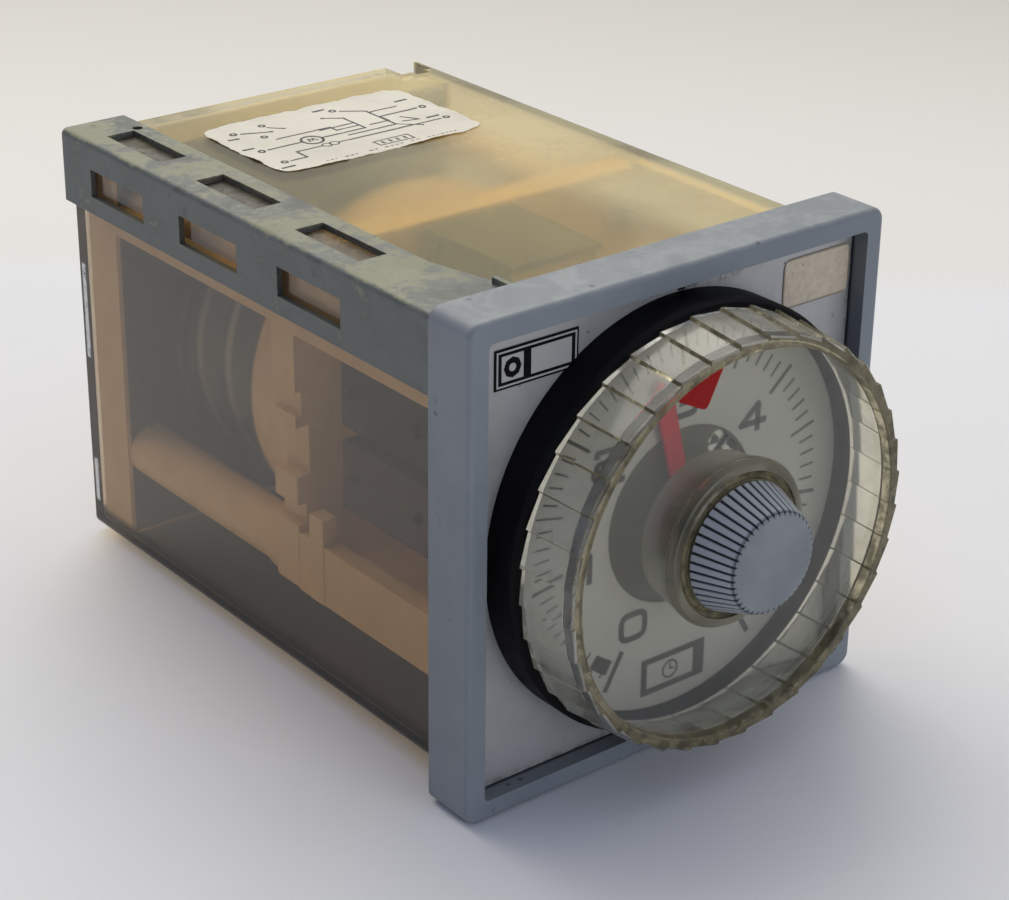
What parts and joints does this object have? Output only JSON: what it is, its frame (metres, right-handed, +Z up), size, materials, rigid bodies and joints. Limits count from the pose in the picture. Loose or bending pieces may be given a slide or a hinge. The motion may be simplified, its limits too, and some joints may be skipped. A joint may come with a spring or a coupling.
{
  "type": "panel mount motor timer",
  "caption": "Square panel-mount motor-driven timer with clear knurled setting dial, clear case, slotted clamp strips, visible works and plug-in rear base.",
  "frame": {"origin": "centre of the bezel's back face, in the plane of the panel the timer is fitted to", "axes": "+Y from the panel plane towards the rear plug, front of the dial faces -Y, +Z up, +X right as seen from the front"},
  "size_m": [0.072, 0.134, 0.072],
  "materials": {
    "blue_plastic": "fine satin moulding",
    "knob_plastic": "satin moulding",
    "silver_plate": "flat printed sheet, speckled",
    "black_plastic": "satin",
    "badge_light": "print",
    "sticker": "paper sticker",
    "smoked_clear": "aged clear moulding",
    "dial_clear": "clear moulding, slightly yellowed",
    "galvanised": "galvanised sheet",
    "steel": "plain",
    "can_steel": "drawn can",
    "paper": "paper label",
    "label_ink": "print",
    "tan_moulding": "moulding",
    "scale_grey": "matt painted disc",
    "scale_ink": "print",
    "olive": "matt",
    "red": "gloss",
    "red_clear": "tinted",
    "brass": "turned and cut",
    "white_nylon": "moulding",
    "ferrite": "matt",
    "coil_wire": "lacquered winding",
    "winding_tape": "tape",
    "bobbin": "moulding",
    "brown_phenolic": "moulding",
    "plunger_red": "moulding"
  },
  "bodies": {
    "case": {"bezel": "blue_plastic", "face_plate": "silver_plate", "dial_surround": "black_plastic", "badge": "black_plastic", "badge_print": "badge_light", "tag_sticker": "sticker", "index_mark": "black_plastic", "clear_case": "smoked_clear", "clamp_strip_upper": "galvanised", "clamp_strip_lower": "galvanised", "wiring_label": "paper", "label_print": "label_ink", "front_plate": "tan_moulding", "mid_plate": "tan_moulding", "rear_plate": "tan_moulding", "spacer_posts": "tan_moulding", "lower_rails": "tan_moulding", "top_rails": "tan_moulding", "shelf": "tan_moulding", "scale_disc": "scale_grey", "scale_print": "scale_ink", "hub_plate": "olive", "motor_can": "can_steel", "motor_bridge": "steel", "stator_coil": "coil_wire", "switch_upper": "black_plastic", "switch_lower": "brown_phenolic", "switch_terminals": "brass", "clutch_bobbin": "bobbin", "clutch_winding": "winding_tape", "clutch_yoke": "steel", "clutch_core": "steel", "plug_base": "black_plastic", "plug_pins": "steel", "case_screws": "steel", "post_nuts": "steel"},
    "set_dial": {"dial_cap": "dial_clear", "center_knob": "knob_plastic", "set_pointer": "red", "set_spindle": "brass", "stop_cam": "white_nylon"},
    "elapsed": {"elapsed_hand": "red_clear", "hand_sleeve": "brass", "main_wheel": "brass"},
    "intermediate": {"intermediate_wheels": "white_nylon", "intermediate_arbor": "steel"},
    "indicator": {"indicator_wheel": "white_nylon", "indicator_stripe": "black_plastic", "indicator_arbor": "steel"},
    "drive": {"drive_gears": "brass", "drive_arbor": "steel"},
    "motor_rotor": {"rotor": "ferrite", "rotor_shaft": "steel"},
    "switch_lever_u": {"lever_upper": "steel"},
    "switch_plunger_u": {"plunger_upper": "plunger_red"},
    "switch_lever_l": {"lever_lower": "steel"},
    "switch_plunger_l": {"plunger_lower": "plunger_red"},
    "armature": {"clutch_armature": "steel"}
  },
  "joints": [
    {"name": "set_dial_turn", "type": "hinge", "parent": "case", "child": "set_dial", "pos_m": [0, 0, 0], "axis": [0, 1, 0], "range_deg": [-133.25, 166.75]},
    {"name": "rotor_spin", "type": "hinge", "parent": "case", "child": "motor_rotor", "pos_m": [0, 0.06, 0.002], "axis": [0, 1, 0], "range_deg": [-12120, 10085]},
    {"name": "elapsed_turn", "type": "hinge", "parent": "case", "child": "elapsed", "pos_m": [0, 0, 0], "axis": [0, 1, 0], "range_deg": [-137, 164]},
    {"name": "intermediate_spin", "type": "hinge", "parent": "case", "child": "intermediate", "pos_m": [0.0176, 0.01, -0.0039], "axis": [0, 1, 0], "range_deg": [-820, 690]},
    {"name": "indicator_spin", "type": "hinge", "parent": "case", "child": "indicator", "pos_m": [0.0084, 0, 0.008], "axis": [0, 1, 0], "range_deg": [-2740, 3280]},
    {"name": "drive_spin", "type": "hinge", "parent": "case", "child": "drive", "pos_m": [0.0029, 0.03, -0.0069], "axis": [0, 1, 0], "range_deg": [-2740, 3280]},
    {"name": "lever_upper_rock", "type": "hinge", "parent": "case", "child": "switch_lever_u", "pos_m": [-0.0191, 0.0264, 0.0134], "axis": [0, 0, -1], "range_deg": [0, 2.5], "stiffness_Nm_per_rad": 0.02},
    {"name": "lever_lower_rock", "type": "hinge", "parent": "case", "child": "switch_lever_l", "pos_m": [-0.0191, 0.0264, 0.0008], "axis": [0, 0, -1], "range_deg": [0, 2.5], "stiffness_Nm_per_rad": 0.02},
    {"name": "plunger_upper_push", "type": "slide", "parent": "case", "child": "switch_plunger_u", "axis": [-1, 0, 0], "range_m": [0, 0.0006]},
    {"name": "plunger_lower_push", "type": "slide", "parent": "case", "child": "switch_plunger_l", "axis": [-1, 0, 0], "range_m": [0, 0.0006]},
    {"name": "armature_rock", "type": "hinge", "parent": "case", "child": "armature", "pos_m": [0, 0.0154, 0.0284], "axis": [1, 0, 0], "range_deg": [0, 5], "stiffness_Nm_per_rad": 0.03}
  ],
  "couplings": [
    {"joint": "elapsed_turn", "follows": "rotor_spin", "ratio": -0.013514},
    {"joint": "intermediate_spin", "follows": "rotor_spin", "ratio": 0.067568},
    {"joint": "indicator_spin", "follows": "rotor_spin", "ratio": -0.27027},
    {"joint": "drive_spin", "follows": "rotor_spin", "ratio": -0.27027},
    {"joint": "plunger_upper_push", "follows": "lever_upper_rock", "m_per_rad": 0.0126},
    {"joint": "plunger_lower_push", "follows": "lever_lower_rock", "m_per_rad": 0.0126}
  ]
}
